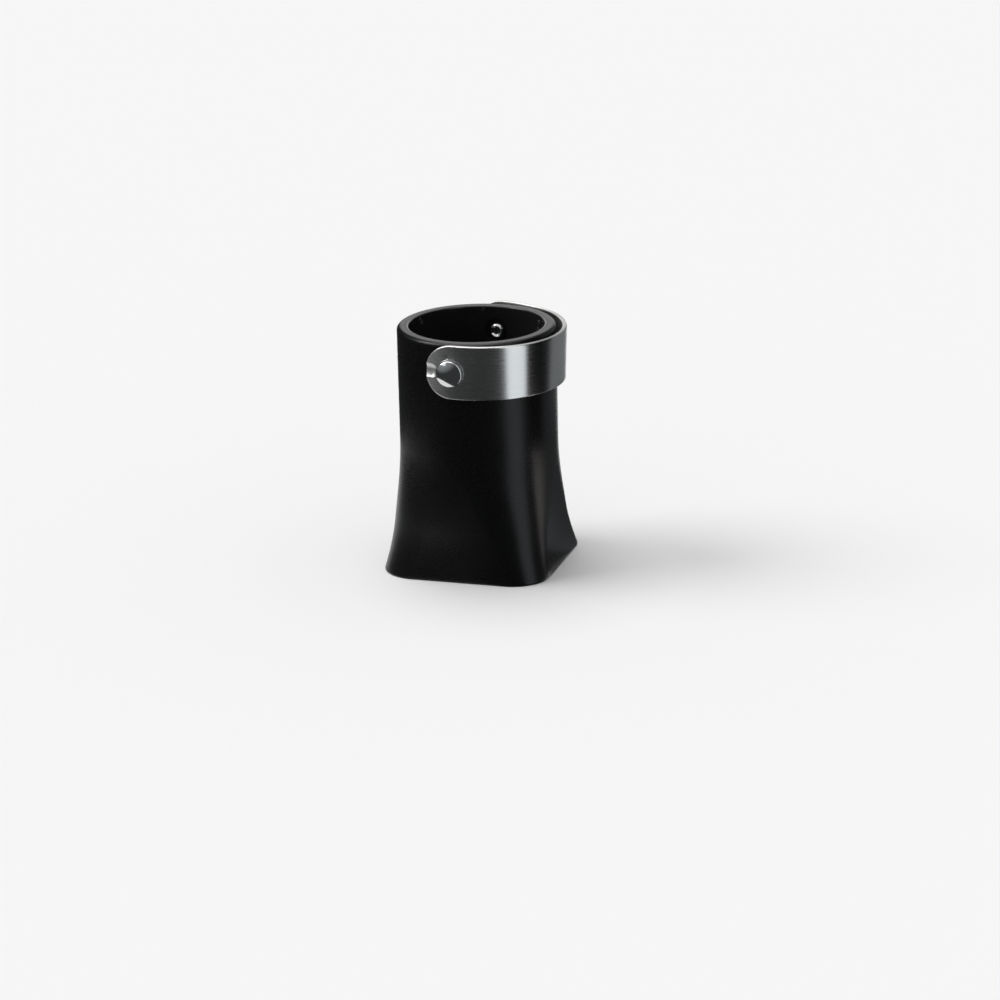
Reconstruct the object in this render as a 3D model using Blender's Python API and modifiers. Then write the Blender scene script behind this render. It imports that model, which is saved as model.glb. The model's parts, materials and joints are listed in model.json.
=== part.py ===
"""Champagne opener: a hollow grip that goes down over the cork, and a steel catch band that
swings over the grip's mouth to stop the cork.

Metres, +Z up. The origin is the centre of the base. The band's two pivots lie on one line
along Y, the front one at -Y, and at rest the band lies round the +X side of the grip."""

import math

import bmesh
import bpy

MM = 0.001

# Clearances
FIT_GAP = 0.2 * MM
SEAT_GAP = 0.1 * MM
SWING_CLEARANCE = 0.2 * MM
OVERRUN = 3.0 * MM

# Cork gripper
CORK_GRIP_RADIUS = 15.0 * MM
RIB_DEPTH = 2.8 * MM
GRIPPER_WALL = 1.5 * MM
GRIPPER_HEIGHT = 31.5 * MM
GRIPPER_LIP_WIDTH = 1.5 * MM
RIB_LEAD_IN = 7.0 * MM
RIB_COUNT = 12
RIB_SHARPNESS = 1.5

# Inner barrel
BARREL_WALL = 1.6 * MM
BORE_EDGE_ROUND = 0.45 * MM
BARREL_LIP_LAND = 0.2 * MM
FLANGE_THICKNESS = 2.8 * MM
GRIPPER_SEAT_DEPTH = 1.5 * MM
PIVOT_BOSS_MARGIN = 0.4 * MM
PIVOT_BOSS_RISE = 0.2 * MM
SCREW_SEAT_RADIUS = 3.45 * MM
SCREW_SEAT_DEPTH = 0.5 * MM
SHANK_STOP_WALL = 0.7 * MM

# Grip shell
HEIGHT = 70.4 * MM
SHELL_WALL = 1.6 * MM
SHELL_RIM_THICKNESS = 1.4 * MM
RIM_ROUND = 1.2 * MM
BASE_FLARE = 1.9 * MM
BASE_CORNER_RADIUS = 10.8 * MM
BASE_EDGE_ROUND = 0.6 * MM
FLARE_HEIGHT = 14.0 * MM
FLARE_EXPONENT = 2.0
SQUARING_HEIGHT = 36.0 * MM

# Catch band
CATCH_WIDTH = 15.5 * MM
CATCH_THICKNESS = 1.35 * MM
CATCH_EDGE_ROUND = 0.3 * MM
CATCH_ABOVE_RIM = 0.25 * MM
CATCH_DROOP = math.radians(2.1)
GROOVE_WIDTH = 4.0 * MM
GROOVE_DEPTH = 0.75 * MM

# Pivot hardware
SCREW_RADIUS = 1.2 * MM
SCREW_HEAD_RADIUS = 2.1 * MM
SCREW_HEAD_HEIGHT = 1.3 * MM
SCREW_HEAD_RIM_HEIGHT = 0.3 * MM
SCREW_TIP_GAP = 0.5 * MM
SOCKET_WIDTH = 2.0 * MM
SOCKET_DEPTH = 0.8 * MM
NUT_HEAD_RADIUS = 3.75 * MM
NUT_HEAD_HEIGHT = 2.35 * MM
NUT_RIM_HEIGHT = 1.1 * MM
NUT_SHANK_WALL = 0.65 * MM
NUT_THREAD_LENGTH = 4.6 * MM
WASHER_MARGIN = 0.25 * MM
WASHER_THICKNESS = 0.35 * MM
FRICTION_WASHER_RADIUS = 4.6 * MM

# Radii from the cork outwards
GRIPPER_WALL_RADIUS = CORK_GRIP_RADIUS + RIB_DEPTH
GRIPPER_RADIUS = GRIPPER_WALL_RADIUS + GRIPPER_WALL
GRIPPER_LIP_RADIUS = GRIPPER_RADIUS + GRIPPER_LIP_WIDTH
BORE_RADIUS = GRIPPER_RADIUS + FIT_GAP
BARREL_RADIUS = BORE_RADIUS + BARREL_WALL
BARREL_LIP_RADIUS = BORE_RADIUS + BORE_EDGE_ROUND + BARREL_LIP_LAND
SHELL_RIM_INNER_RADIUS = BARREL_LIP_RADIUS + FIT_GAP
GRIP_RADIUS = BARREL_RADIUS + FIT_GAP + SHELL_WALL
BASE_HALF_WIDTH = GRIP_RADIUS + BASE_FLARE

# The band's round ends just clear the round grip when it stands upright
CATCH_END_RADIUS = CATCH_WIDTH / 2
CATCH_INNER_RADIUS = math.hypot(GRIP_RADIUS + SWING_CLEARANCE, CATCH_END_RADIUS)
CATCH_OUTER_RADIUS = CATCH_INNER_RADIUS + CATCH_THICKNESS
PIVOT_HEIGHT = HEIGHT - CATCH_END_RADIUS + CATCH_ABOVE_RIM

# Radii round the pivot line
THREAD_RADIUS = SCREW_RADIUS + SEAT_GAP
SCREW_HOLE_RADIUS = SCREW_RADIUS + FIT_GAP
NUT_SHANK_RADIUS = THREAD_RADIUS + NUT_SHANK_WALL
SHANK_HOLE_RADIUS = NUT_SHANK_RADIUS + FIT_GAP
WASHER_RADIUS = NUT_HEAD_RADIUS + WASHER_MARGIN
PIVOT_BOSS_RADIUS = FRICTION_WASHER_RADIUS + PIVOT_BOSS_MARGIN

# Distances from the grip's axis along the pivot line, from the bore outwards
SCREW_SEAT = BORE_RADIUS + SCREW_SEAT_DEPTH
SHANK_STOP = SCREW_SEAT + SHANK_STOP_WALL
SHANK_END = SHANK_STOP + SEAT_GAP
BOSS_FACE = GRIP_RADIUS + PIVOT_BOSS_RISE
FRICTION_WASHER_SEAT = BOSS_FACE + SEAT_GAP
FRICTION_WASHER_TOP = math.sqrt(CATCH_INNER_RADIUS ** 2 - FRICTION_WASHER_RADIUS ** 2) - SEAT_GAP
WASHER_SEAT = CATCH_OUTER_RADIUS + SEAT_GAP
WASHER_TOP = WASHER_SEAT + WASHER_THICKNESS
NUT_SEAT = WASHER_TOP + SEAT_GAP

# Fineness of the meshes
LARGE_STEPS = 72
SMALL_STEPS = 28
ROUND_STEPS = 3
DOME_STEPS = 5
SQUARING_STEPS = 10
RIB_STEPS = 8
SMOOTH_ANGLE = math.radians(35)
MERGE_DISTANCE = 0.00001


def start_scene():
    """Empties the scene and returns one collection for the parts and one for the cutters."""
    for obj in list(bpy.data.objects):
        bpy.data.objects.remove(obj)
    collections = [bpy.data.collections.new(name) for name in ("champagne_opener", "cutters")]
    for collection in collections:
        bpy.context.scene.collection.children.link(collection)
    return collections


def finish(name, color, roughness, metallic=0.0):
    """A Principled material of one colour, roughness and metallic value."""
    material = bpy.data.materials.new(name)
    material.use_nodes = True
    shader = material.node_tree.nodes["Principled BSDF"]
    shader.inputs["Base Color"].default_value = (*color, 1.0)
    shader.inputs["Roughness"].default_value = roughness
    shader.inputs["Metallic"].default_value = metallic
    return material


def add_part(name, mesh, material, parent=None):
    obj = bpy.data.objects.new(name, mesh)
    obj.data.materials.append(material)
    obj.parent = parent
    PARTS.objects.link(obj)
    return obj


def add_cutter(name, mesh, parent=None, location=(0, 0, 0), rotation=(0, 0, 0)):
    """A helper that cuts or joins: it is drawn as wire and isn't a part."""
    obj = bpy.data.objects.new(name, mesh)
    obj.parent = parent
    obj.location = location
    obj.rotation_euler = rotation
    obj.hide_render = True
    obj.display_type = "WIRE"
    CUTTERS.objects.link(obj)
    return obj


def add_pivot(name, rotation):
    """An empty at the middle of the pivot line."""
    empty = bpy.data.objects.new(name, None)
    empty.location = (0, 0, PIVOT_HEIGHT)
    empty.rotation_euler = rotation
    PARTS.objects.link(empty)
    return empty


def boolean(obj, other, operation):
    modifier = obj.modifiers.new(other.name, "BOOLEAN")
    modifier.object = other
    modifier.operation = operation
    modifier.solver = "EXACT"


def mesh_of(name, bm):
    """The mesh of this bmesh, shaded smooth but for its corners."""
    mesh = bpy.data.meshes.new(name)
    bm.to_mesh(mesh)
    bm.free()
    mesh.shade_smooth()
    mesh.set_sharp_from_angle(angle=SMOOTH_ANGLE)
    return mesh


def profile_mesh(name, points, closed=False):
    """A turned shape's (radius, height) points joined by edges, down its outer side."""
    bm = bmesh.new()
    verts = [bm.verts.new((radius, 0, height)) for radius, height in points]
    for first, second in zip(verts, verts[1:]):
        bm.edges.new((first, second))
    if closed:
        bm.edges.new((verts[-1], verts[0]))
    return mesh_of(name, bm)


def turn(obj, steps):
    """Turns the object's profile about its Z axis."""
    screw = obj.modifiers.new("turned", "SCREW")
    screw.steps = steps
    screw.render_steps = steps
    screw.use_smooth_shade = True
    screw.use_merge_vertices = True
    screw.merge_threshold = MERGE_DISTANCE
    return obj


def cylinder_mesh(name, radius, start, end, steps=SMALL_STEPS):
    """A cylinder along Z between two heights."""
    bm = bmesh.new()
    bmesh.ops.create_cone(
        bm, cap_ends=True, segments=steps, radius1=radius, radius2=radius, depth=end - start
    )
    bmesh.ops.translate(bm, verts=bm.verts, vec=(0, 0, (start + end) / 2))
    return mesh_of(name, bm)


def loft_mesh(name, rings):
    """A closed skin through rings of as many points each, the last ring joined to the first."""
    bm = bmesh.new()
    loops = [[bm.verts.new(point) for point in ring] for ring in rings]
    for ring, following in zip(loops, loops[1:] + loops[:1]):
        for i in range(len(ring)):
            j = (i + 1) % len(ring)
            bm.faces.new((ring[i], ring[j], following[j], following[i]))
    return mesh_of(name, bm)


def rounding(radius):
    """(inset, distance from the face) along a round edge, from the side wall to the face."""
    angles = [math.pi / 2 * i / ROUND_STEPS for i in range(ROUND_STEPS + 1)]
    return [(radius * (1 - math.cos(a)), radius * (1 - math.sin(a))) for a in angles]


def dome(radius, rise):
    """(radius, height) down a spherical cap, from its top to its foot at height 0."""
    ball = (radius ** 2 + rise ** 2) / (2 * rise)
    edge_angle = math.asin(radius / ball)
    angles = [edge_angle * i / DOME_STEPS for i in range(DOME_STEPS + 1)]
    return [(ball * math.sin(a), rise - ball * (1 - math.cos(a))) for a in angles]


def rounded_square(half_width, corner_radius, height):
    """Points round a square with round corners. Where the two sizes are alike it is a circle."""
    straight = half_width - corner_radius
    points = []
    for i in range(LARGE_STEPS):
        angle = 2 * math.pi * (i + 0.5) / LARGE_STEPS
        x = math.copysign(straight, math.cos(angle)) + corner_radius * math.cos(angle)
        y = math.copysign(straight, math.sin(angle)) + corner_radius * math.sin(angle)
        points.append((x, y, height))
    return points


def grip_section(height, inset=0.0):
    """The grip's outline at this height, drawn in by inset: round above, with corners that
    square up lower down, and sides that flare at the base."""
    squaring = max(0.0, 1 - height / SQUARING_HEIGHT)
    square_share = squaring ** 2 * (3 - 2 * squaring)
    flare_share = max(0.0, 1 - height / FLARE_HEIGHT) ** FLARE_EXPONENT
    half_width = GRIP_RADIUS + (BASE_HALF_WIDTH - GRIP_RADIUS) * flare_share
    corner_radius = GRIP_RADIUS + (BASE_CORNER_RADIUS - GRIP_RADIUS) * square_share
    return rounded_square(half_width - inset, corner_radius - inset, height)


def make_grip_shell():
    """The soft skin: a lofted wall whose rim turns in over the barrel's shoulder."""
    lower_heights = [SQUARING_HEIGHT * i / SQUARING_STEPS for i in range(SQUARING_STEPS + 1)]
    rings = [grip_section(rise, inset) for inset, rise in reversed(rounding(BASE_EDGE_ROUND))]
    rings += [grip_section(height) for height in lower_heights[1:]]
    rings += [grip_section(HEIGHT - drop, inset) for inset, drop in rounding(RIM_ROUND)]
    shoulder = HEIGHT - SHELL_RIM_THICKNESS
    wall_radius = GRIP_RADIUS - SHELL_WALL
    for radius, height in (
        (SHELL_RIM_INNER_RADIUS, HEIGHT),
        (SHELL_RIM_INNER_RADIUS, shoulder),
        (wall_radius, shoulder),
    ):
        rings.append(rounded_square(radius, radius, height))
    rings += [grip_section(height, SHELL_WALL) for height in reversed(lower_heights)]
    material = finish("soft_touch_black", (0.012, 0.012, 0.013), 0.55)
    shell = add_part("grip_shell", loft_mesh("grip_shell", rings), material)

    reach = GRIP_RADIUS + OVERRUN
    window = cylinder_mesh("pivot_window", PIVOT_BOSS_RADIUS + FIT_GAP, -reach, reach)
    boolean(shell, add_cutter("pivot_window", window, FRONT), "DIFFERENCE")


def make_inner_barrel():
    """The hard barrel: a tube with a square foot flange and a boss at each pivot."""
    shoulder = HEIGHT - SHELL_RIM_THICKNESS - FIT_GAP
    core = [
        (0, HEIGHT),
        (BARREL_LIP_RADIUS, HEIGHT),
        (BARREL_LIP_RADIUS, shoulder),
        (BARREL_RADIUS, shoulder),
        (BARREL_RADIUS, FLANGE_THICKNESS / 2),
        (0, FLANGE_THICKNESS / 2),
    ]
    material = finish("gloss_black", (0.006, 0.006, 0.006), 0.12)
    barrel = add_part("inner_barrel", profile_mesh("inner_barrel", core), material)
    turn(barrel, LARGE_STEPS)

    wall_inset = SHELL_WALL + FIT_GAP
    hub = BORE_RADIUS / 2
    flange_rings = [
        grip_section(0, wall_inset),
        grip_section(FLANGE_THICKNESS, wall_inset),
        rounded_square(hub, hub, FLANGE_THICKNESS),
        rounded_square(hub, hub, 0),
    ]
    boolean(barrel, add_cutter("foot_flange", loft_mesh("foot_flange", flange_rings)), "UNION")
    boss = cylinder_mesh("pivot_boss", PIVOT_BOSS_RADIUS, -BOSS_FACE, BOSS_FACE)
    boolean(barrel, add_cutter("pivot_boss", boss, FRONT), "UNION")

    seat_radius = GRIPPER_LIP_RADIUS + FIT_GAP
    bore = [(0, HEIGHT + OVERRUN), (BORE_RADIUS + BORE_EDGE_ROUND, HEIGHT + OVERRUN)]
    bore += [(BORE_RADIUS + inset, HEIGHT - drop)
             for inset, drop in reversed(rounding(BORE_EDGE_ROUND))]
    bore += [
        (BORE_RADIUS, GRIPPER_SEAT_DEPTH),
        (seat_radius, GRIPPER_SEAT_DEPTH),
        (seat_radius, -OVERRUN),
        (0, -OVERRUN),
    ]
    bore_cutter = turn(add_cutter("bore", profile_mesh("bore", bore)), LARGE_STEPS)
    boolean(barrel, bore_cutter, "DIFFERENCE")

    through = BOSS_FACE + OVERRUN
    for name, radius, start, end in (
        ("screw_seats", SCREW_SEAT_RADIUS, -SCREW_SEAT, SCREW_SEAT),
        ("screw_holes", SCREW_HOLE_RADIUS, -through, through),
        ("front_shank_hole", SHANK_HOLE_RADIUS, SHANK_STOP, through),
        ("rear_shank_hole", SHANK_HOLE_RADIUS, -through, -SHANK_STOP),
    ):
        cutter = add_cutter(name, cylinder_mesh(name, radius, start, end), FRONT)
        boolean(barrel, cutter, "DIFFERENCE")


def ribbed_ring(wall_radius, rib_depth, height):
    """A ring of this radius, drawn in by the rib depth at each rib."""
    count = RIB_COUNT * RIB_STEPS
    points = []
    for i in range(count):
        angle = 2 * math.pi * i / count
        crest_share = (0.5 + 0.5 * math.cos(RIB_COUNT * angle)) ** RIB_SHARPNESS
        radius = wall_radius - rib_depth * crest_share
        points.append((radius * math.cos(angle), radius * math.sin(angle), height))
    return points


def make_cork_gripper():
    """The rubber insert: a foot lip, and ribs that swell inwards to hold the cork's head."""
    foot = FIT_GAP
    lip_top = GRIPPER_SEAT_DEPTH - FIT_GAP
    top = foot + GRIPPER_HEIGHT
    rings = [
        ribbed_ring(GRIPPER_LIP_RADIUS, 0, foot),
        ribbed_ring(GRIPPER_LIP_RADIUS, 0, lip_top),
        ribbed_ring(GRIPPER_RADIUS, 0, lip_top),
        ribbed_ring(GRIPPER_RADIUS, 0, top),
    ]
    lead_in_shares = (0, 0.3, 0.6, 1)
    swell = [(RIB_DEPTH * math.sin(math.pi / 2 * share), RIB_LEAD_IN * share)
             for share in lead_in_shares]
    rings += [ribbed_ring(GRIPPER_WALL_RADIUS, depth, top - run) for depth, run in swell]
    rings += [ribbed_ring(GRIPPER_WALL_RADIUS, depth, foot + run)
              for depth, run in reversed(swell)]
    material = finish("gripper_rubber", (0.03, 0.03, 0.032), 0.7)
    add_part("cork_gripper", loft_mesh("cork_gripper", rings), material)


def make_catch_band():
    """The steel half ring, hung on the pivot line by its round ends."""
    along_pivot_line = (math.pi / 2, 0, 0)
    outer_side = [(CATCH_OUTER_RADIUS - inset, CATCH_END_RADIUS - drop)
                  for inset, drop in reversed(rounding(CATCH_EDGE_ROUND))]
    inner_side = [(CATCH_INNER_RADIUS + inset, CATCH_END_RADIUS - drop)
                  for inset, drop in rounding(CATCH_EDGE_ROUND)]
    profile = outer_side + [(radius, -height) for radius, height in reversed(outer_side)]
    profile += [(radius, -height) for radius, height in reversed(inner_side)] + inner_side
    material = finish("brushed_stainless", (0.62, 0.61, 0.6), 0.3, 1.0)
    hinge = add_pivot("catch_pivot", (0, CATCH_DROOP, 0))
    band = add_part("catch_band", profile_mesh("catch_band", profile, closed=True), material, hinge)
    turn(band, LARGE_STEPS)

    reach = CATCH_OUTER_RADIUS + OVERRUN
    half_bm = bmesh.new()
    bmesh.ops.create_cube(half_bm, size=1.0)
    bmesh.ops.scale(half_bm, verts=half_bm.verts, vec=(reach, 2 * reach, CATCH_WIDTH + OVERRUN))
    half = add_cutter("band_half", mesh_of("band_half", half_bm), hinge, (reach / 2, 0, 0))
    ends_mesh = cylinder_mesh("band_ends", CATCH_END_RADIUS, -reach, reach, 2 * SMALL_STEPS)
    ends = add_cutter("band_ends", ends_mesh, hinge, rotation=along_pivot_line)
    boolean(ends, half, "UNION")
    boolean(band, ends, "INTERSECT")
    holes_mesh = cylinder_mesh("band_holes", SHANK_HOLE_RADIUS, -reach, reach)
    holes = add_cutter("band_holes", holes_mesh, hinge, rotation=along_pivot_line)
    boolean(band, holes, "DIFFERENCE")

    bar_radius = ((GROOVE_WIDTH / 2) ** 2 + GROOVE_DEPTH ** 2) / (2 * GROOVE_DEPTH)
    bar_distance = CATCH_OUTER_RADIUS - GROOVE_DEPTH + bar_radius
    bar_half = CATCH_END_RADIUS / 2
    bar_angle = (NUT_HEAD_RADIUS + CATCH_END_RADIUS) / 2 / CATCH_OUTER_RADIUS
    bar_mesh = cylinder_mesh("groove_bar", bar_radius, -bar_half, bar_half, 2 * SMALL_STEPS)
    for name, side in (("front_groove_bar", -1), ("rear_groove_bar", 1)):
        place = (-bar_distance * math.sin(bar_angle), side * bar_distance * math.cos(bar_angle), 0)
        bar = add_cutter(name, bar_mesh, hinge, place, (0, -math.pi / 2, side * bar_angle))
        boolean(band, bar, "DIFFERENCE")


def ring_profile(outer_radius, inner_radius, low, high):
    return [(outer_radius, high), (outer_radius, low), (inner_radius, low), (inner_radius, high)]


def nut_profile():
    """A domed barrel nut: a shallow cap, a shank with a blind threaded hole from its end."""
    rim_top = NUT_SEAT + NUT_RIM_HEIGHT
    cap = [(radius, rim_top + height)
           for radius, height in dome(NUT_HEAD_RADIUS, NUT_HEAD_HEIGHT - NUT_RIM_HEIGHT)]
    return cap + [
        (NUT_HEAD_RADIUS, NUT_SEAT),
        (NUT_SHANK_RADIUS, NUT_SEAT),
        (NUT_SHANK_RADIUS, SHANK_END),
        (THREAD_RADIUS, SHANK_END),
        (THREAD_RADIUS, SHANK_END + NUT_THREAD_LENGTH),
        (0, SHANK_END + NUT_THREAD_LENGTH),
    ]


def screw_profile():
    """A button-head screw, whose head lies in the bore and whose tip points outwards."""
    tip = SHANK_END + NUT_THREAD_LENGTH - SCREW_TIP_GAP
    under_head = SCREW_SEAT - SEAT_GAP
    cap_foot = under_head - SCREW_HEAD_RIM_HEIGHT
    cap = [(radius, cap_foot - height)
           for radius, height in dome(SCREW_HEAD_RADIUS, SCREW_HEAD_HEIGHT - SCREW_HEAD_RIM_HEIGHT)]
    shank = [(0, tip), (SCREW_RADIUS, tip), (SCREW_RADIUS, under_head)]
    return shank + [(SCREW_HEAD_RADIUS, under_head)] + cap[::-1]


def make_pivot_hardware():
    """At each pivot, from outside in: nut, washer, band, friction washer, boss and screw."""
    washer_steel = finish("washer_steel", (0.55, 0.55, 0.55), 0.25, 1.0)
    nylon = finish("washer_nylon", (0.02, 0.02, 0.02), 0.4)
    polished = finish("polished_nut", (0.7, 0.7, 0.7), 0.08, 1.0)
    screw_steel = finish("screw_steel", (0.6, 0.6, 0.6), 0.2, 1.0)
    friction_ring = ring_profile(
        FRICTION_WASHER_RADIUS, SHANK_HOLE_RADIUS, FRICTION_WASHER_SEAT, FRICTION_WASHER_TOP
    )
    washer_ring = ring_profile(WASHER_RADIUS, SHANK_HOLE_RADIUS, WASHER_SEAT, WASHER_TOP)
    head_end = SCREW_SEAT - SEAT_GAP - SCREW_HEAD_HEIGHT
    socket_mesh = cylinder_mesh(
        "hex_socket", SOCKET_WIDTH / math.sqrt(3), head_end - OVERRUN, head_end + SOCKET_DEPTH, 6
    )
    for place, pivot in (("front", FRONT), ("rear", REAR)):
        for name, ring, material in (
            (f"friction_washer_{place}", friction_ring, nylon),
            (f"outer_washer_{place}", washer_ring, washer_steel),
        ):
            turn(add_part(name, profile_mesh(name, ring, closed=True), material, pivot), SMALL_STEPS)
        nut_mesh = profile_mesh(f"pivot_nut_{place}", nut_profile())
        turn(add_part(f"pivot_nut_{place}", nut_mesh, polished, pivot), SMALL_STEPS)
        screw_mesh = profile_mesh(f"pivot_screw_{place}", screw_profile())
        screw = turn(add_part(f"pivot_screw_{place}", screw_mesh, screw_steel, pivot), SMALL_STEPS)
        socket = add_cutter(f"hex_socket_{place}", socket_mesh, pivot)
        boolean(screw, socket, "DIFFERENCE")


PARTS, CUTTERS = start_scene()
FRONT = add_pivot("front_pivot", (math.pi / 2, 0, 0))
REAR = add_pivot("rear_pivot", (-math.pi / 2, 0, 0))
make_grip_shell()
make_inner_barrel()
make_cork_gripper()
make_catch_band()
make_pivot_hardware()
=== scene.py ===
"""The looks of a champagne opener: a hollow black grip that goes down over the cork, and a
steel catch band that swings over its mouth. Metres, +Z up, the same frame as the solids."""

import json
import math

import bmesh
import bpy
from mathutils import Matrix, Vector


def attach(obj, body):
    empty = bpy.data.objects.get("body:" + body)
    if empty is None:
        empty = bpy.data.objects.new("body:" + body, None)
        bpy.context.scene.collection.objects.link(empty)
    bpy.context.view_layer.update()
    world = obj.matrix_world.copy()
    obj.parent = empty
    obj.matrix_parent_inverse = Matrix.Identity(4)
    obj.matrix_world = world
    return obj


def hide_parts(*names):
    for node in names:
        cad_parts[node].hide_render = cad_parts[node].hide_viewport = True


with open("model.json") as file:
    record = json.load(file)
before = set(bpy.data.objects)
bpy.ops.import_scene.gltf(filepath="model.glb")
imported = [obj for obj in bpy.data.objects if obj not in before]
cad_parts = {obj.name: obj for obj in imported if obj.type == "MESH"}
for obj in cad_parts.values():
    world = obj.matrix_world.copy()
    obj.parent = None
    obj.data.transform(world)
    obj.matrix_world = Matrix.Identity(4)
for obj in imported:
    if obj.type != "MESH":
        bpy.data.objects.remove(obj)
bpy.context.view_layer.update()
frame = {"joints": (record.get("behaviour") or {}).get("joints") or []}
MM = 0.001

# Camera
# A long lens about a metre away, a little above the rim and round towards the band's middle.
# The opener leans in the picture by the roll, and stands left of and above its centre.
camera_azimuth = math.radians(17.41)
camera_elevation = math.radians(17.26)
camera_roll = math.radians(1.41)
camera_distance = 1013.8 * MM
grip_middle = Vector((0, 0, 35.0 * MM))
aim_right, aim_down = 5.99 * MM, 16.96 * MM
lens_length = 126.0
near_clip, far_clip = 0.05, 50.0

toward_camera = Vector((
    math.sin(camera_azimuth) * math.cos(camera_elevation),
    -math.cos(camera_azimuth) * math.cos(camera_elevation),
    math.sin(camera_elevation),
))
level_right = Vector((math.cos(camera_azimuth), math.sin(camera_azimuth), 0))
level_up = toward_camera.cross(level_right)
picture_right = level_right * math.cos(camera_roll) - level_up * math.sin(camera_roll)
picture_up = level_right * math.sin(camera_roll) + level_up * math.cos(camera_roll)
camera_place = grip_middle + toward_camera * camera_distance
aim = grip_middle + picture_right * aim_right - picture_up * aim_down
back_axis = (camera_place - aim).normalized()
right_axis = picture_up.cross(back_axis).normalized()
up_axis = back_axis.cross(right_axis)
camera = bpy.data.objects.new("camera", bpy.data.cameras.new("camera"))
camera.matrix_world = Matrix.Translation(camera_place) @ Matrix(
    (right_axis, up_axis, back_axis)).transposed().to_4x4()
camera.data.lens = lens_length
camera.data.clip_start, camera.data.clip_end = near_clip, far_clip
bpy.context.scene.collection.objects.link(camera)
bpy.context.scene.camera = camera
bpy.context.scene.view_settings.view_transform = "Standard"


# Studio
# A plain pale floor in a pale room, with a broad key lamp at the upper left and one overhead.
# Round the opener, and over part of the floor, stands a dark screen with a glowing strip, a
# dim glowing far side and a window for the key lamp. A low glowing card stands to the right of
# the grip's foot. The screen and the card show only in the opener's gloss, as painted
# reflections: the screen's dark parts paint dark reflections, and its strip, far side and the
# card paint bright ones.
class Signal:
    """A node's output in a finish, which takes part in sums like a number."""

    def __init__(self, finish, socket):
        self.finish = finish
        self.socket = socket

    def reckon(self, operation, *others):
        values = dict(enumerate((self, *others)))
        return self.finish.node("ShaderNodeMath", {"operation": operation}, values)

    def __add__(self, other):
        return self.reckon("ADD", other)

    def __sub__(self, other):
        return self.reckon("SUBTRACT", other)

    def __rsub__(self, other):
        return self * -1 + other

    def __mul__(self, other):
        return self.reckon("MULTIPLY", other)

    __radd__ = __add__
    __rmul__ = __mul__

    def across(self, other):
        """The length of the diagonal of this and the other."""
        return (self * self + other * other).reckon("SQRT")


class Finish:
    """The nodes of one material, or of the room's light."""

    def __init__(self, owner):
        owner.use_nodes = True
        self.owner = owner
        self.tree = owner.node_tree

    def node(self, kind, settings, values, output=0):
        """Adds a node, sets it, fills or links its sockets, and gives one of its outputs."""
        made = self.tree.nodes.new(kind)
        for name, value in settings.items():
            setattr(made, name, value)
        self.fill(made, values)
        return Signal(self, made.outputs[output])

    def fill(self, made, values):
        for key, value in values.items():
            if isinstance(value, Signal):
                self.tree.links.new(value.socket, made.inputs[key])
            else:
                made.inputs[key].default_value = value

    def shade(self, values):
        """Fills or links sockets of the material's own shader."""
        self.fill(self.tree.nodes["Principled BSDF"], values)
        return self.owner

    def tint(self, share, first, second):
        """A colour between two colours."""
        return self.node(
            "ShaderNodeMix", {"data_type": "RGBA"},
            {0: share, 6: (*first, 1.0), 7: (*second, 1.0)}, 2)

    def ease(self, value, low, high):
        """0 up to low, 1 from high on, and a soft step between them."""
        return self.node(
            "ShaderNodeMapRange", {"interpolation_type": "SMOOTHSTEP"},
            {"Value": value, "From Min": low, "From Max": high})

    def spot(self):
        """The place on the surface in the shared frame, and that place's x, y and z."""
        place = self.node("ShaderNodeTexCoord", {}, {}, "Object")
        return place, *(
            self.node("ShaderNodeSeparateXYZ", {}, {0: place}, axis) for axis in range(3))

    def noise(self, place, size, detail=2.0):
        """Random light and dark in patches of about this size."""
        return self.node(
            "ShaderNodeTexNoise", {}, {"Vector": place, "Scale": 1 / size, "Detail": detail})

    def relief(self, height, depth):
        """A normal for relief of this depth between heights 0 and 1."""
        return self.node("ShaderNodeBump", {}, {"Height": height, "Distance": depth})


def show(name, mesh, material):
    """A new object in the scene with this mesh and material."""
    piece = bpy.data.objects.new(name, mesh)
    piece.data.materials.append(material)
    bpy.context.scene.collection.objects.link(piece)
    return piece


def skin(bm, loops, closed=True):
    """Faces between neighbouring loops of as many vertices each."""
    for loop, following in zip(loops, loops[1:]):
        for i in range(len(loop) if closed else len(loop) - 1):
            j = (i + 1) % len(loop)
            bm.faces.new((loop[i], loop[j], following[j], following[i]))


corner_angle = math.radians(35)


def solid(name, bm):
    """The finished mesh: faces outwards, shaded smooth but for its corners."""
    bmesh.ops.recalc_face_normals(bm, faces=bm.faces)
    mesh = bpy.data.meshes.new(name)
    bm.to_mesh(mesh)
    bm.free()
    mesh.shade_smooth()
    mesh.set_sharp_from_angle(angle=corner_angle)
    return mesh


floor_half = 6.0
floor_drop = 0.02 * MM
pale = (0.92, 0.92, 0.92)
black = (0.0, 0.0, 0.0)
floor_bm = bmesh.new()
skin(floor_bm, [
    [floor_bm.verts.new((x * floor_half, y * floor_half, -floor_drop)) for x in (-1, 1)]
    for y in (-1, 1)], closed=False)
floor_finish = Finish(bpy.data.materials.new("pale_floor"))
floor_material = floor_finish.shade(
    {"Base Color": (*pale, 1.0), "Roughness": 0.9, "Specular IOR Level": 0.0})
show("floor", solid("floor", floor_bm), floor_material)

room_light = (0.45, 0.45, 0.45)
room = Finish(bpy.data.worlds.new("pale_room"))
bpy.context.scene.world = room.owner
on_camera, on_gloss, through = (
    room.node("ShaderNodeLightPath", {}, {}, kind)
    for kind in ("Is Camera Ray", "Is Glossy Ray", "Is Transmission Ray"))
shown = (on_camera + on_gloss).reckon("MAXIMUM", through)
room.fill(room.tree.nodes["Background"], {"Color": room.tint(shown, room_light, pale)})

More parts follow.
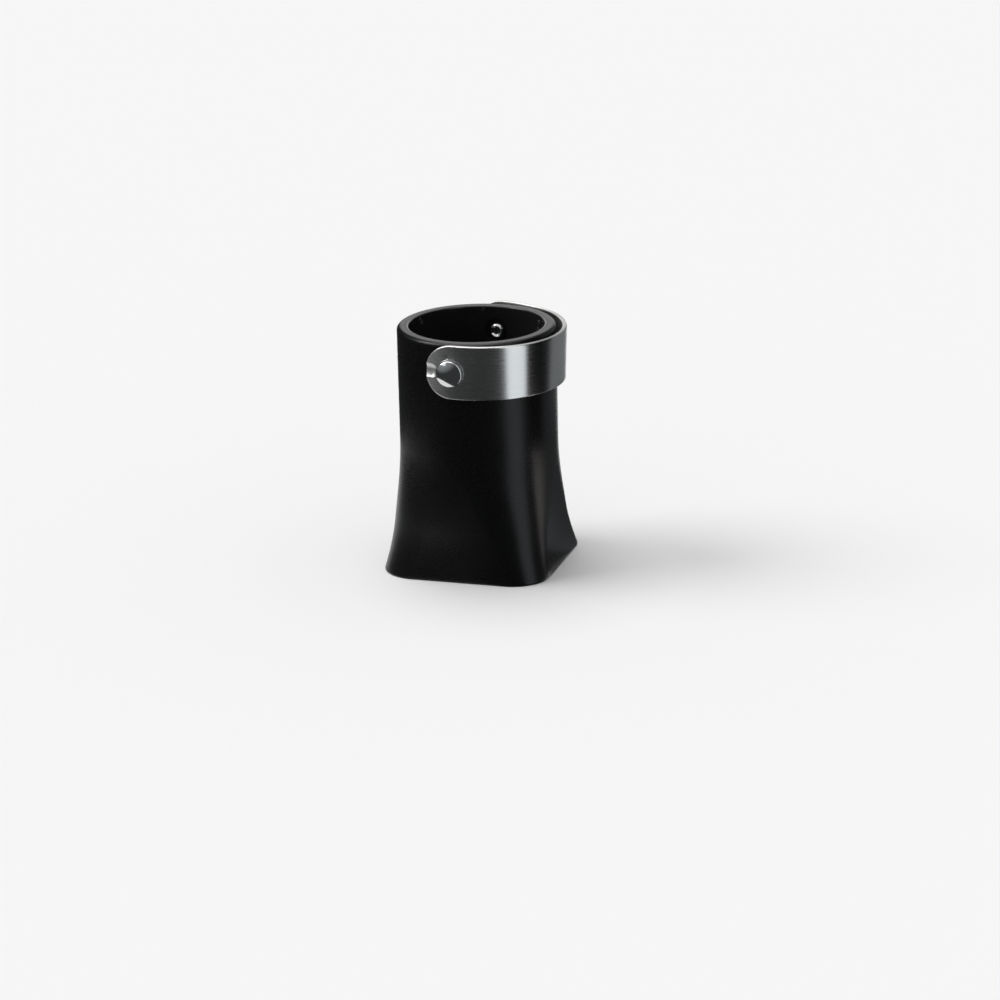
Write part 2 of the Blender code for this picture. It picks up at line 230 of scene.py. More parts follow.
for lamp_name, lamp_way, lamp_width, lamp_power in (
    ("key_lamp", (-0.72, -0.15, 0.68), 34, 1.25),
    ("top_lamp", (-0.2, 0.25, 1.0), 36, 0.93),
):
    lamp = bpy.data.objects.new(lamp_name, bpy.data.lights.new(lamp_name, "SUN"))
    lamp.data.angle = math.radians(lamp_width)
    lamp.data.energy = lamp_power
    lamp.rotation_euler = Vector(lamp_way).to_track_quat("Z", "Y").to_euler()
    bpy.context.scene.collection.objects.link(lamp)

screen_radius = 120.0 * MM
screen_turns = [math.radians(turn) for turn in range(-140, 167, 3)]
screen_rises = [math.radians(rise) for rise in range(0, 70, 3)]
window_turns, window_rises = (-72, -22), (50, 70)  # degrees
apron_start, apron_full = math.radians(-75), math.radians(25)
apron_depth = 92.0 * MM


def ringed(turn, rise, reach):
    """The point this far from the middle of the floor, by its turn from the front and its rise."""
    level = reach * math.cos(rise)
    return level * math.sin(turn), -level * math.cos(turn), reach * math.sin(rise)


def in_window(point):
    turn = math.degrees(math.atan2(point.x, -point.y))
    rise = math.degrees(math.asin(point.z / point.length))
    return (window_turns[0] < turn < window_turns[1]
            and window_rises[0] < rise < window_rises[1])


screen_bm = bmesh.new()
skin(screen_bm, [
    [screen_bm.verts.new(ringed(turn, rise, screen_radius)) for turn in screen_turns]
    for rise in screen_rises], closed=False)
bmesh.ops.delete(screen_bm, context="FACES", geom=[
    face for face in screen_bm.faces if in_window(face.calc_center_median())])
apron_turns = [turn for turn in screen_turns if turn > apron_start]
apron_rows = [[], []]
for turn in apron_turns:
    spread = min(1, (turn - apron_start) / (apron_full - apron_start))
    depth = apron_depth * spread ** 2 * (3 - 2 * spread)
    for row, reach in zip(apron_rows, (screen_radius - depth, screen_radius)):
        row.append(screen_bm.verts.new(ringed(turn, 0, reach)))
skin(screen_bm, apron_rows, closed=False)


def glowing(finish, light):
    """A black material that gives off this light."""
    return finish.shade({
        "Base Color": (*black, 1.0),
        "Specular IOR Level": 0.0,
        "Emission Color": light,
        "Emission Strength": 1.0,
    })


# Each edge of the screen's lit parts goes from one turn to another, in degrees from the front,
# rightwards. The strip's edges lean left with height, by so many degrees for each metre.
strip_left, strip_left_lean = (54, 57), 150
strip_right, strip_right_lean = (77.5, 81), 100
near_edge, far_edge, foot_shade_edge = (40, 50), (112, 117), (120, 150)
foot_heights = 2 * MM, 20 * MM
glow_shares = 0.78, 1.0
screen_white = (1.04, 1.1, 1.14)
screen_dark, near_light, far_light, far_foot_shade, window_light = 0.005, 0.03, 0.175, 0.1, 0.2
# Painted reflections: the screen glows dark, with a bright strip, dim near and far sides, and a
# glow round the key lamp's window.
screen_finish = Finish(bpy.data.materials.new("dark_screen"))
_, east, north, up = screen_finish.spot()
turn = east.reckon("ARCTAN2", north * -1).reckon("DEGREES")
strip = (
    screen_finish.ease(turn + strip_left_lean * up, *strip_left)
    - screen_finish.ease(turn + strip_right_lean * up, *strip_right))
near_side = 1 - screen_finish.ease(turn, *near_edge)
low_down = 1 - screen_finish.ease(up, *foot_heights)
far_side = screen_finish.ease(turn, *far_edge) * (
    far_light - far_foot_shade * low_down * screen_finish.ease(turn, *foot_shade_edge))
key_east, key_north, key_up = ringed(
    math.radians(sum(window_turns) / 2), math.radians(sum(window_rises) / 2), 1)
key_share = (east * key_east + north * key_north + up * key_up).reckon(
    "DIVIDE", east.across(north).across(up))
glow = screen_finish.ease(key_share, *glow_shares)
screen_material = glowing(screen_finish, screen_finish.tint(
    screen_dark + near_light * near_side + strip + far_side + window_light * glow,
    black, screen_white))
screen = show("dark_screen", solid("dark_screen", screen_bm), screen_material)

# Painted reflection: the card glows, brighter and warm towards its front, and lights the grip's
# side face in its gloss.
card_distance, card_front, card_rear = 45.0 * MM, -8.0 * MM, 10.0 * MM
card_corners = (1.0 * MM, 3.0 * MM), (-5.4 * MM, 14.0 * MM), (card_front, 28.0 * MM)
card_front_light, card_rear_light = (1.92, 1.78, 1.72), (0.43, 0.4, 0.39)
card_bm = bmesh.new()
skin(card_bm, [
    [card_bm.verts.new((card_distance, y, height)) for y in (front, card_rear)]
    for front, height in card_corners], closed=False)
card_finish = Finish(bpy.data.materials.new("low_card"))
_, _, north, _ = card_finish.spot()
card_material = glowing(card_finish, card_finish.tint(
    card_finish.ease(north, card_front, card_rear), card_front_light, card_rear_light))
card = show("low_card", solid("low_card", card_bm), card_material)
for reflector in (screen, card):
    for ray in ("camera", "diffuse", "transmission", "volume_scatter", "shadow"):
        setattr(reflector, "visible_" + ray, False)

# Inner barrel
# The hard core of the grip, moulded in glossy black plastic: a tube whose foot spreads to a
# square flange, with a boss for each pivot and a shallow seat for each screw's head. Its
# polished lip shows round the mouth inside the soft skin.
round_steps = 288
catch_swing = frame["joints"][0]
pivot_height = catch_swing["pos_m"][2]
port_steps = 25
port_half_height = 5.65 * MM
port_heights = [
    pivot_height + port_half_height * (2 * j / port_steps - 1) for j in range(port_steps + 1)]


def rounded(corners, steps=5):
    """Points of a closed outline from (x, y, radius) corners, each rounded by its radius."""
    points = []
    for i, (x, y, radius) in enumerate(corners):
        if not radius:
            points.append((x, y))
            continue
        corner = Vector((x, y))
        before = (Vector(corners[i - 1][:2]) - corner).normalized()
        after = (Vector(corners[(i + 1) % len(corners)][:2]) - corner).normalized()
        half = before.angle(after) / 2
        middle = corner + (before + after).normalized() * radius / math.sin(half)
        start = corner + before * radius / math.tan(half) - middle
        end = corner + after * radius / math.tan(half) - middle
        sweep = math.pi - 2 * half
        for step in range(steps + 1):
            bend = sweep * step / steps
            arm = start * math.sin(sweep - bend) + end * math.sin(bend)
            points.append(tuple(middle + arm / math.sin(sweep)))
    return points


def section(half_width, corner_radius, height):
    """Points round a square with round corners, or a circle where the two sizes are alike."""
    straight = half_width - corner_radius
    points = []
    for i in range(round_steps):
        angle = 2 * math.pi * (i + 0.5) / round_steps
        points.append((
            math.copysign(straight, math.cos(angle)) + corner_radius * math.cos(angle),
            math.copysign(straight, math.sin(angle)) + corner_radius * math.sin(angle),
            height))
    return points


def heights_between(low, high, step):
    """Even heights from one to another, about a step apart and without the two themselves."""
    count = round(abs(high - low) / step)
    return [low + (high - low) * j / count for j in range(1, count)]


def wall(bm, rings, ports=()):
    """A closed skin through rings, the last joined to the first, left open at the ports, each
    given by its lowest and highest ring. Gives the loop of vertices round each opening, for
    the front (side -1) and the rear, from its lowest left corner."""
    rows = [[bm.verts.new(point) for point in ring] for ring in rings]
    openings = {}
    left_out = set()
    for low, high in ports:
        rising = range(low, high, 1 if high > low else -1)
        falling = range(high, low, -1 if high > low else 1)
        for side, middle in ((-1, 3 * round_steps // 4), (1, round_steps // 4)):
            first = middle - (port_steps + 1) // 2
            last = first + port_steps
            openings[side, low] = (
                rows[low][first:last] + [rows[j][last] for j in rising]
                + rows[high][last:first:-1] + [rows[j][first] for j in falling])
            left_out.update(
                (min(low, high) + j, first + i)
                for j in range(port_steps) for i in range(port_steps))
    for j, row in enumerate(rows):
        following = rows[(j + 1) % len(rows)]
        for i in range(round_steps):
            if (j, i) not in left_out:
                k = (i + 1) % round_steps
                bm.faces.new((row[i], row[k], following[k], following[i]))
    return openings


def port(bm, side, outer, inner, outer_rings, inner_rings):
    """Lines a way through a wall at a pivot, between two loops of the wall's vertices. A ring is
    (share of the way from the loop to the circle, radius, distance from the grip's axis, and
    whether it lies flat or follows the round wall)."""
    loops = [outer]
    for loop, rings in ((outer, outer_rings), (inner, inner_rings)):
        for share, radius, distance, flat in rings:
            ring = []
            for vert in loop:
                x, z = vert.co.x, vert.co.z - pivot_height
                angle = math.atan2(z, x)
                x += share * (radius * math.cos(angle) - x)
                z += share * (radius * math.sin(angle) - z)
                y = distance if flat else math.sqrt(distance ** 2 - x ** 2)
                ring.append(bm.verts.new((x, side * y, pivot_height + z)))
            loops.append(ring)
    skin(bm, loops + [inner])


grip_height = 70.4 * MM
fit_gap = 0.2 * MM
shell_wall = 1.6 * MM
grip_radius = 22.9 * MM
base_half_width = 24.8 * MM
base_corner_radius = 10.8 * MM
flare_height, flare_exponent = 14.0 * MM, 2.0
squaring_height = 36.0 * MM


def grip_section(height, inset=0.0):
    """The grip's outline at this height, drawn in by inset: round above, with corners that
    square up lower down, and sides that flare at the base."""
    squaring = max(0.0, 1 - height / squaring_height)
    square_share = squaring ** 2 * (3 - 2 * squaring)
    flare_share = max(0.0, 1 - height / flare_height) ** flare_exponent
    half_width = grip_radius + (base_half_width - grip_radius) * flare_share
    corner_radius = grip_radius + (base_corner_radius - grip_radius) * square_share
    return section(half_width - inset, corner_radius - inset, height)


barrel_radius = 21.1 * MM
bore_radius = 19.5 * MM
lip_radius = 20.22 * MM
lip_depth = 1.6 * MM
bore_edge_round = 0.45 * MM
lip_edge_round = 0.05 * MM
flange_thickness = 2.8 * MM
flange_inset = shell_wall + fit_gap
flange_edge_round = 0.3 * MM
gripper_seat_radius = 21.0 * MM
gripper_seat_depth = 1.5 * MM
small_round = 0.15 * MM
row_step = 3.0 * MM

# In this outline and those like it, the last two corners only give the others neighbours.
barrel_rings = [section(r, r, z) for r, z in rounded([
    (bore_radius, grip_height, bore_edge_round),
    (lip_radius, grip_height, lip_edge_round),
    (lip_radius, grip_height - lip_depth, 0),
    (barrel_radius, grip_height - lip_depth, small_round),
    (barrel_radius, 0, 0),
    (bore_radius, 0, 0),
])[:-2]]
outer_port = (len(barrel_rings) + port_steps, len(barrel_rings))
barrel_rings += [section(barrel_radius, barrel_radius, z) for z in (
    *reversed(port_heights),
    *heights_between(port_heights[0], flange_thickness, row_step),
    flange_thickness)]
barrel_rings += [
    grip_section(flange_thickness, flange_inset + flange_edge_round),
    grip_section(flange_thickness - flange_edge_round, flange_inset),
    grip_section(flange_edge_round, flange_inset),
    grip_section(0, flange_inset + flange_edge_round),
]
barrel_rings += [section(r, r, z) for r, z in rounded([
    (gripper_seat_radius, 0, flange_edge_round),
    (gripper_seat_radius, gripper_seat_depth, 0),
    (bore_radius, gripper_seat_depth, small_round),
    (bore_radius, grip_height, 0),
    (barrel_radius, 0, 0),
])[:-2]]
barrel_rings += [
    section(bore_radius, bore_radius, z)
    for z in heights_between(gripper_seat_depth + small_round, port_heights[0], row_step)]
inner_port = (len(barrel_rings), len(barrel_rings) + port_steps)
barrel_rings += [section(bore_radius, bore_radius, z) for z in port_heights]

boss_radius, boss_face = 5.0 * MM, 23.1 * MM
boss_round = 0.1 * MM
shank_hole, shank_stop = 2.15 * MM, 20.7 * MM
screw_hole, screw_seat = 1.4 * MM, 20.0 * MM
seat_radius = 3.45 * MM
seat_round = 0.16 * MM
set_back = 0.3  # of its radius, where a quarter round is halfway
barrel_bm = bmesh.new()
barrel_openings = wall(barrel_bm, barrel_rings, (outer_port, inner_port))
for side in (-1, 1):
    port(
        barrel_bm, side,
        barrel_openings[side, outer_port[0]], barrel_openings[side, inner_port[0]],
        [
            (0.5, boss_radius, barrel_radius, False),
            (1, boss_radius, barrel_radius, False),
            (1, boss_radius, boss_face - boss_round, True),
            (1, boss_radius - boss_round, boss_face, True),
            (1, shank_hole, boss_face, True),
            (1, shank_hole, shank_stop, True),
            (1, screw_hole, shank_stop, True),
        ],
        [
            (1, screw_hole, screw_seat, True),
            (1, seat_radius, screw_seat, True),
            (1, seat_radius, bore_radius + seat_round, False),
            (1, seat_radius + set_back * seat_round, bore_radius + set_back * seat_round, False),
            (1, seat_radius + seat_round, bore_radius, False),
            (0.66, seat_radius + seat_round, bore_radius, False),
            (0.33, seat_radius + seat_round, bore_radius, False),
        ])

gloss = Finish(bpy.data.materials.new("gloss_black_plastic"))
gloss_place, *_ = gloss.spot()
smudge = gloss.noise(gloss_place, 9 * MM, 3.0)
gloss_material = gloss.shade({
    "Base Color": gloss.tint(smudge, (0.011, 0.011, 0.012), (0.017, 0.017, 0.018)),
    "Roughness": 0.06 + 0.08 * smudge,
    "Normal": gloss.relief(gloss.noise(gloss_place, 1.4 * MM), 0.002 * MM),
})
barrel = show("gloss_barrel", solid("gloss_barrel", barrel_bm), gloss_material)
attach(barrel, "opener")
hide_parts("inner_barrel")

# Cork gripper
# A moulded rubber insert pressed up into the barrel's foot against its lip. Twelve ribs swell
# inwards from its wall to hold the cork's head, and their crests are rubbed smooth by corks.
gripper_radius, gripper_wall_radius = 19.3 * MM, 17.8 * MM
gripper_lip_radius, gripper_lip_top = 20.8 * MM, 1.3 * MM
gripper_foot, gripper_top = 0.2 * MM, 31.7 * MM
gripper_round = 0.35 * MM
rib_count, rib_depth, rib_sharpness = 12, 2.8 * MM, 1.5
rib_lead_in = 7.0 * MM
rib_row_step = 0.8 * MM

gripper_outline = rounded([
    (gripper_wall_radius, gripper_foot, gripper_round),
    (gripper_lip_radius, gripper_foot, gripper_round),
    (gripper_lip_radius, gripper_lip_top, gripper_round),
    (gripper_radius, gripper_lip_top, small_round),
    (gripper_radius, gripper_top, gripper_round),
    (gripper_wall_radius, gripper_top, gripper_round),
])
gripper_outline += [(gripper_wall_radius, z) for z in heights_between(
    gripper_top - gripper_round, gripper_foot + gripper_round, rib_row_step)]
gripper_rings = []
for r, z in gripper_outline:
    run = min(gripper_top - z, z - gripper_foot, rib_lead_in)
    ribbed = r < (gripper_radius + gripper_wall_radius) / 2
    swell = rib_depth * math.sin(math.pi / 2 * run / rib_lead_in) if ribbed else 0
    ring = []
    for i in range(round_steps):
        angle = 2 * math.pi * i / round_steps
        reach = r - swell * (0.5 + 0.5 * math.cos(rib_count * angle)) ** rib_sharpness
        ring.append((reach * math.cos(angle), reach * math.sin(angle), z))
    gripper_rings.append(ring)
gripper_bm = bmesh.new()
wall(gripper_bm, gripper_rings)

rubber = Finish(bpy.data.materials.new("gripper_rubber"))
rubber_place, east, north, _ = rubber.spot()
rubbed = 1 - rubber.ease(east.across(north), 15.2 * MM, 16.4 * MM)
rubber_grain = rubber.noise(rubber_place, 0.25 * MM)
rubber_bloom = rubber.noise(rubber_place, 6 * MM, 3.0)
rubber_material = rubber.shade({
    "Base Color": rubber.tint(
        0.8 * rubber_bloom + 0.3 * rubbed, (0.018, 0.018, 0.019), (0.045, 0.045, 0.047)),
    "Roughness": 0.78 - 0.2 * rubbed,
    "Specular IOR Level": 0.35,
    "Normal": rubber.relief(rubber_grain, 0.02 * MM),
})
gripper = show("ribbed_gripper", solid("ribbed_gripper", gripper_bm), rubber_material)
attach(gripper, "opener")
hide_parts("cork_gripper")

# Grip shell
# The skin of the grip, a plastic shell with a black soft-touch coat. Its round wall squares
# up over its lower half and flares at the base. It slides up over the barrel, its rim turns
# in over the barrel's shoulder, and a round window lets each pivot boss through.
rim_inner_radius, rim_thickness = 20.28 * MM, 1.4 * MM
rim_round, rim_inner_round = 1.2 * MM, 0.05 * MM
base_round = 0.6 * MM
shell_inner_radius = grip_radius - shell_wall
window_radius, window_round = 5.2 * MM, 0.12 * MM
squaring_step = 1.25 * MM
rim_steps = 9

shell_rings = []
for step in range(rim_steps + 1):
    bend = math.pi / 2 * step / rim_steps
    shell_rings.append(grip_section(
        base_round * (1 - math.cos(bend)), base_round * (1 - math.sin(bend))))
shell_rows = [
    *heights_between(base_round, squaring_height, squaring_step), squaring_height,
    *heights_between(squaring_height, port_heights[0], row_step)]
shell_rings += [grip_section(z) for z in shell_rows]
outer_port = (len(shell_rings), len(shell_rings) + port_steps)
shell_rings += [grip_section(z) for z in port_heights]
shell_rings += [section(r, r, z) for r, z in rounded([
    (grip_radius, grip_height, rim_round),
    (rim_inner_radius, grip_height, rim_inner_round),
    (rim_inner_radius, grip_height - rim_thickness, 0),
    (shell_inner_radius, grip_height - rim_thickness, small_round),
    (shell_inner_radius, 0, 0),
    (grip_radius, 0, 0),
], rim_steps)[:-2]]
inner_port = (len(shell_rings) + port_steps, len(shell_rings))
shell_rings += [grip_section(z, shell_wall) for z in (
    *reversed(port_heights), *reversed(shell_rows), base_round, 0)]
shell_bm = bmesh.new()
shell_openings = wall(shell_bm, shell_rings, (outer_port, inner_port))
for side in (-1, 1):
    port(
        shell_bm, side,
        shell_openings[side, outer_port[0]], shell_openings[side, inner_port[0]],
        [
            (0.5, window_radius + window_round, grip_radius, False),
            (1, window_radius + window_round, grip_radius, False),
            (1, window_radius + set_back * window_round,
             grip_radius - set_back * window_round, False),
            (1, window_radius, grip_radius - window_round, False),
        ],
        [(1, window_radius, shell_inner_radius, False)])

coat = Finish(bpy.data.materials.new("soft_touch_coat"))
coat_place, _, _, up = coat.spot()
handled = coat.noise(coat_place, 14 * MM, 4.0)
coat_grain = coat.noise(coat_place, 0.32 * MM, 3.0)
worn = 1 - coat.ease(up, 0.1 * MM, 1.2 * MM)
coat_material = coat.shade({
    "Base Color": coat.tint(
        0.6 * handled + 0.5 * worn, (0.0024, 0.0024, 0.0026), (0.005, 0.005, 0.0056)),
    "Roughness": 0.2 + 0.1 * handled + 0.06 * coat_grain - 0.04 * worn,
    "Specular IOR Level": 0.3,
    "Normal": coat.relief(coat_grain, 0.022 * MM),
})
shell = show("soft_skin", solid("soft_skin", shell_bm), coat_material)
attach(shell, "opener")
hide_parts("grip_shell")

# Friction washers
# Black nylon rings, turned flat on both faces, that fill the gap between each pivot boss and
# the band and give the band's swing its drag. They sit loose on the nuts' shanks.
lathe_steps = 96
pivot_sides = ("front", -1), ("rear", 1)


def turned(bm, side, outline, closed=True, shape=None):
    """A shape turned on the pivot line from (radius, distance from the grip's axis) points: an
    outline closed in itself, or one that starts and ends on the line. Where the rings aren't
    round, shape gives the radius at each turn, clockwise as seen from outside."""
    rings = []
    for r, distance in (outline if closed else outline[1:-1]):
        ring = []
        for i in range(lathe_steps):
            turn = 2 * math.pi * i / lathe_steps
            reach = shape(r, distance, side * turn) if shape else r
            ring.append(bm.verts.new((
                reach * math.cos(turn), side * distance, pivot_height + reach * math.sin(turn))))
        rings.append(ring)
    if closed:
        skin(bm, rings + rings[:1])
        return
    skin(bm, rings)
    for ring, (_, distance) in ((rings[0], outline[0]), (rings[-1], outline[-1])):
        pole = bm.verts.new((0, side * distance, pivot_height))
        for i, vert in enumerate(ring):
            bm.faces.new((vert, ring[(i + 1) % len(ring)], pole))


def from_pivot(finish):
    """The surface's distance from the pivot line."""
    _, east, _, up = finish.spot()
    return east.across(up - pivot_height)


friction_radius = 4.6 * MM
friction_low, friction_high = 23.2 * MM, 23.828 * MM
friction_round = 0.12 * MM

nylon = Finish(bpy.data.materials.new("friction_nylon"))
nylon_place, *_ = nylon.spot()
nylon_rings = nylon.noise(from_pivot(nylon), 0.12 * MM)
nylon_cloud = nylon.noise(nylon_place, 1.6 * MM)
nylon_material = nylon.shade({
    "Base Color": nylon.tint(nylon_cloud, (0.012, 0.012, 0.013), (0.03, 0.03, 0.03)),
    "Roughness": 0.34 + 0.14 * nylon_rings,
    "Normal": nylon.relief(nylon_rings, 0.006 * MM),
})
for place, side in pivot_sides:
    friction_bm = bmesh.new()
    turned(friction_bm, side, rounded([
        (friction_radius, friction_high, friction_round),
        (friction_radius, friction_low, friction_round),
        (shank_hole, friction_low, friction_round),
        (shank_hole, friction_high, friction_round),
    ]))
    name = f"friction_ring_{place}"
    friction_ring = show(name, solid(name, friction_bm), nylon_material)
    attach(friction_ring, "opener")
    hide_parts(f"friction_washer_{place}")

# Catch band
# A half ring bent from stainless strip, brushed along its length, with round ends that swing
# on the nuts' shanks. A short round-ended groove is pressed into each end behind the pivot.
# Its cut edges are tumbled smooth, so they shine more than its faces. Their rounding is also
# painted lighter, a painted highlight, and the very outline darker, a painted shade.
band_outer_radius, band_inner_radius = 25.716 * MM, 24.366 * MM
band_thickness = band_outer_radius - band_inner_radius
band_half_width = 7.75 * MM
band_edge_round = 0.3 * MM
band_hole_round = 0.1 * MM
band_droop = math.radians(2.1)
bar_radius, bar_rise = 3.042 * MM, 2.292 * MM
bar_end = 5.9 * MM
bar_softness = 0.05 * MM
seam_turn = math.radians(17.5)
arc_steps, lead_steps, seam_steps, strip_steps = 120, 12, 40, 232
hole_steps = 30
edge_steps = 4
seam_low = arc_steps + lead_steps
seam_high = seam_low + seam_steps
strip_turns = [
    seam_turn + (math.pi - 2 * seam_turn) * i / strip_steps for i in range(1, strip_steps)]


def end_outline(radius, inset):
    """(x, z) points round one end of a face of the band: round behind the pivot, and square in
    front of it, where the strip takes over."""
    reach = band_half_width - inset
    seam = radius * math.sin(seam_turn)
    arc = [math.pi * (0.5 + i / arc_steps) for i in range(arc_steps)]
    return (
        [(reach * math.cos(turn), reach * math.sin(turn)) for turn in arc]
        + [(seam * i / lead_steps, -reach) for i in range(lead_steps)]
        + [(seam, reach * (2 * i / seam_steps - 1)) for i in range(seam_steps)]
        + [(seam * (1 - i / lead_steps), reach) for i in range(lead_steps)])


def end_point(radius, side, x, z, sunk=0.0):
    """The point of a face's end over this x and z, sunk below the face's radius."""
    share = 1 - sunk / radius
    return x * share, side * math.sqrt(radius ** 2 - x ** 2) * share, z


def strip_row(radius, height):
    return [(radius * math.sin(turn), -radius * math.cos(turn), height) for turn in strip_turns]


def round_the_band(ends, low_row, high_row):
    """One loop round the whole band, from both ends' outlines and the strip's two edges."""
    front, rear = (ends[side][seam_high:] + ends[side][:seam_low + 1] for side in (-1, 1))
    return front + low_row + rear[::-1] + high_row[::-1]


def pressed(x, z):
    """The groove's depth: the round end of a bar sunk into the face, with a soft edge."""
    away = math.hypot(max(0.0, x + bar_end), z)
    sunk = math.sqrt(max(0.0, bar_radius ** 2 - away ** 2)) - bar_rise
    return (sunk + math.hypot(sunk, bar_softness)) / 2


def band_face(bm, radius, grooved):
    """One face of the band. Gives the loop of vertices round it, and those round its holes."""
    ends, holes = {}, {}
    hole_radius = shank_hole + band_hole_round
    for side in (-1, 1):
        loops = []
        for step in range(hole_steps + 1):
            share = step / hole_steps
            loop = []
            for x, z in end_outline(radius, band_edge_round):
                turn = math.atan2(z, x)
                x += share * (hole_radius * math.cos(turn) - x)
                z += share * (hole_radius * math.sin(turn) - z)
                sunk = pressed(x, z) if grooved else 0.0
                loop.append(bm.verts.new(end_point(radius, side, x, z, sunk)))
            loops.append(loop)
        skin(bm, loops)
        ends[side], holes[side] = loops[0], loops[-1]
    reach = band_half_width - band_edge_round
    rows = [
        [bm.verts.new(point) for point in strip_row(radius, reach * (2 * i / seam_steps - 1))]
        for i in range(seam_steps + 1)]
    front, rear = (ends[side][seam_low:seam_high + 1] for side in (-1, 1))
    skin(bm, [[first, *row, last] for first, row, last in zip(front, rows, rear)], closed=False)
    return round_the_band(ends, rows[0], rows[-1]), holes


band_bm = bmesh.new()
outer_edge, outer_holes = band_face(band_bm, band_outer_radius, True)
inner_edge, inner_holes = band_face(band_bm, band_inner_radius, False)

edge_loops = {True: [], False: []}
for outside in (True, False):
    for step in range(1, edge_steps + 1):
        bend = math.pi / 2 * step / edge_steps
        inset = band_edge_round * (1 - math.sin(bend))
        drop = band_edge_round * (1 - math.cos(bend))
        radius = band_outer_radius - drop if outside else band_inner_radius + drop
        groove_share = 1 - drop / band_thickness if outside else 0
        reach = band_half_width - inset
        ends = {
            side: [end_point(radius, side, x, z, groove_share * pressed(x, z))
                   for x, z in end_outline(radius, inset)]
            for side in (-1, 1)}
        edge_loops[outside].append([band_bm.verts.new(point) for point in round_the_band(
            ends, strip_row(radius, -reach), strip_row(radius, reach))])
skin(band_bm, [outer_edge, *edge_loops[True], *reversed(edge_loops[False]), inner_edge])

for side in (-1, 1):
    hole_loops = [
        [
            band_bm.verts.new(end_point(
                radius, side,
                shank_hole * math.cos(math.atan2(vert.co.z, vert.co.x)),
                shank_hole * math.sin(math.atan2(vert.co.z, vert.co.x))))
            for vert in hole]
        for hole, radius in (
            (outer_holes[side], band_outer_radius - band_hole_round),
            (inner_holes[side], band_inner_radius + band_hole_round))]
    skin(band_bm, [outer_holes[side], *hole_loops, inner_holes[side]])
bmesh.ops.transform(
    band_bm, verts=band_bm.verts,
    matrix=Matrix.Translation((0, 0, pivot_height)) @ Matrix.Rotation(band_droop, 4, "Y"))

steel = Finish(bpy.data.materials.new("brushed_stainless"))
_, east, north, up = steel.spot()
along = east.reckon("ARCTAN2", north * -1) * band_outer_radius
level = east * math.sin(band_droop) + (up - pivot_height) * math.cos(band_droop)
hair, shade_line = (
    steel.noise(steel.node(
        "ShaderNodeCombineXYZ", {}, {0: along * (1 / length), 1: level * (1 / width)}), 1, 3.0)
    for length, width in ((9 * MM, 0.05 * MM), (40 * MM, 0.4 * MM)))
from_middle = east.reckon("MINIMUM", 0.0).across(level)
# Painted highlight and shade: the edge rounding's colour is lighter, and a hairline at the very
# outline is darker.
tumbled_edge_and_painted_highlight = steel.ease(from_middle, band_half_width - band_edge_round, band_half_width - 0.1 * MM)
edge_line_painted_shade = steel.ease(from_middle, band_half_width - 0.04 * MM, band_half_width - 0.01 * MM)
steel_material = steel.shade({
    "Base Color": steel.tint(
        0.5 * hair + 0.25 * shade_line + 0.2 * tumbled_edge_and_painted_highlight - 0.9 * edge_line_painted_shade,
        (0.56, 0.555, 0.545), (0.78, 0.775, 0.765)),
    "Metallic": 1.0,
    "Roughness": 0.22 + 0.1 * hair + 0.02 * shade_line - 0.04 * tumbled_edge_and_painted_highlight + 0.15 * edge_line_painted_shade,
    "Anisotropic": 0.9,
    "Anisotropic Rotation": 0.25,
    "Normal": steel.relief(hair, 0.002 * MM),
})
band = show("steel_catch", solid("steel_catch", band_bm), steel_material)
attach(band, "catch")
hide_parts("catch_band")

# Outer washers
# Thin stainless washers, faced on a lathe, that keep the turning band off the nuts' heads.
thin_washer_radius = 4.0 * MM
thin_washer_low, thin_washer_high = 25.816 * MM, 26.166 * MM
thin_washer_round = 0.09 * MM

washer_steel = Finish(bpy.data.materials.new("washer_steel"))
washer_place, *_ = washer_steel.spot()
lathe_rings = washer_steel.noise(from_pivot(washer_steel), 0.09 * MM, 3.0)
washer_cloud = washer_steel.noise(washer_place, 1.5 * MM)
washer_material = washer_steel.shade({
    "Base Color": washer_steel.tint(
        0.5 * lathe_rings + 0.5 * washer_cloud, (0.56, 0.56, 0.555), (0.74, 0.74, 0.735)),
    "Metallic": 1.0,
    "Roughness": 0.18 + 0.14 * lathe_rings,
    "Normal": washer_steel.relief(lathe_rings, 0.002 * MM),
})
for place, side in pivot_sides:
    washer_bm = bmesh.new()
    turned(washer_bm, side, rounded([
        (thin_washer_radius, thin_washer_high, thin_washer_round),
        (thin_washer_radius, thin_washer_low, thin_washer_round),
        (shank_hole, thin_washer_low, thin_washer_round),
        (shank_hole, thin_washer_high, thin_washer_round),
    ]))
    name = f"thin_washer_{place}"
    thin_washer = show(name, solid(name, washer_bm), washer_material)
    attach(thin_washer, "opener")
    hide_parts(f"outer_washer_{place}")

# Pivot nuts
# Domed barrel nuts, turned from stainless bar and buffed to a mirror. Each one's shank goes
# in through the washers and the band into the barrel's boss, and is threaded from its end.
nut_radius, nut_seat, nut_rim = 3.75 * MM, 26.266 * MM, 1.1 * MM
nut_dome_rise = 1.25 * MM
nut_edge_round = 0.45 * MM
nut_ball = (nut_radius ** 2 + nut_dome_rise ** 2) / (2 * nut_dome_rise)
nut_shank, nut_thread = 1.95 * MM, 1.3 * MM
shank_end, thread_end = 20.8 * MM, 25.4 * MM
nut_chamfer = 0.08 * MM
nut_edge_steps, dome_steps = 8, 28


def dome(radius, ball, steps):
    """(radius, height under the top) points down a ball's cap, without its pole."""
    edge = math.asin(radius / ball)
    bends = [edge * i / steps for i in range(1, steps + 1)]
    return [(ball * math.sin(bend), ball * (1 - math.cos(bend))) for bend in bends]


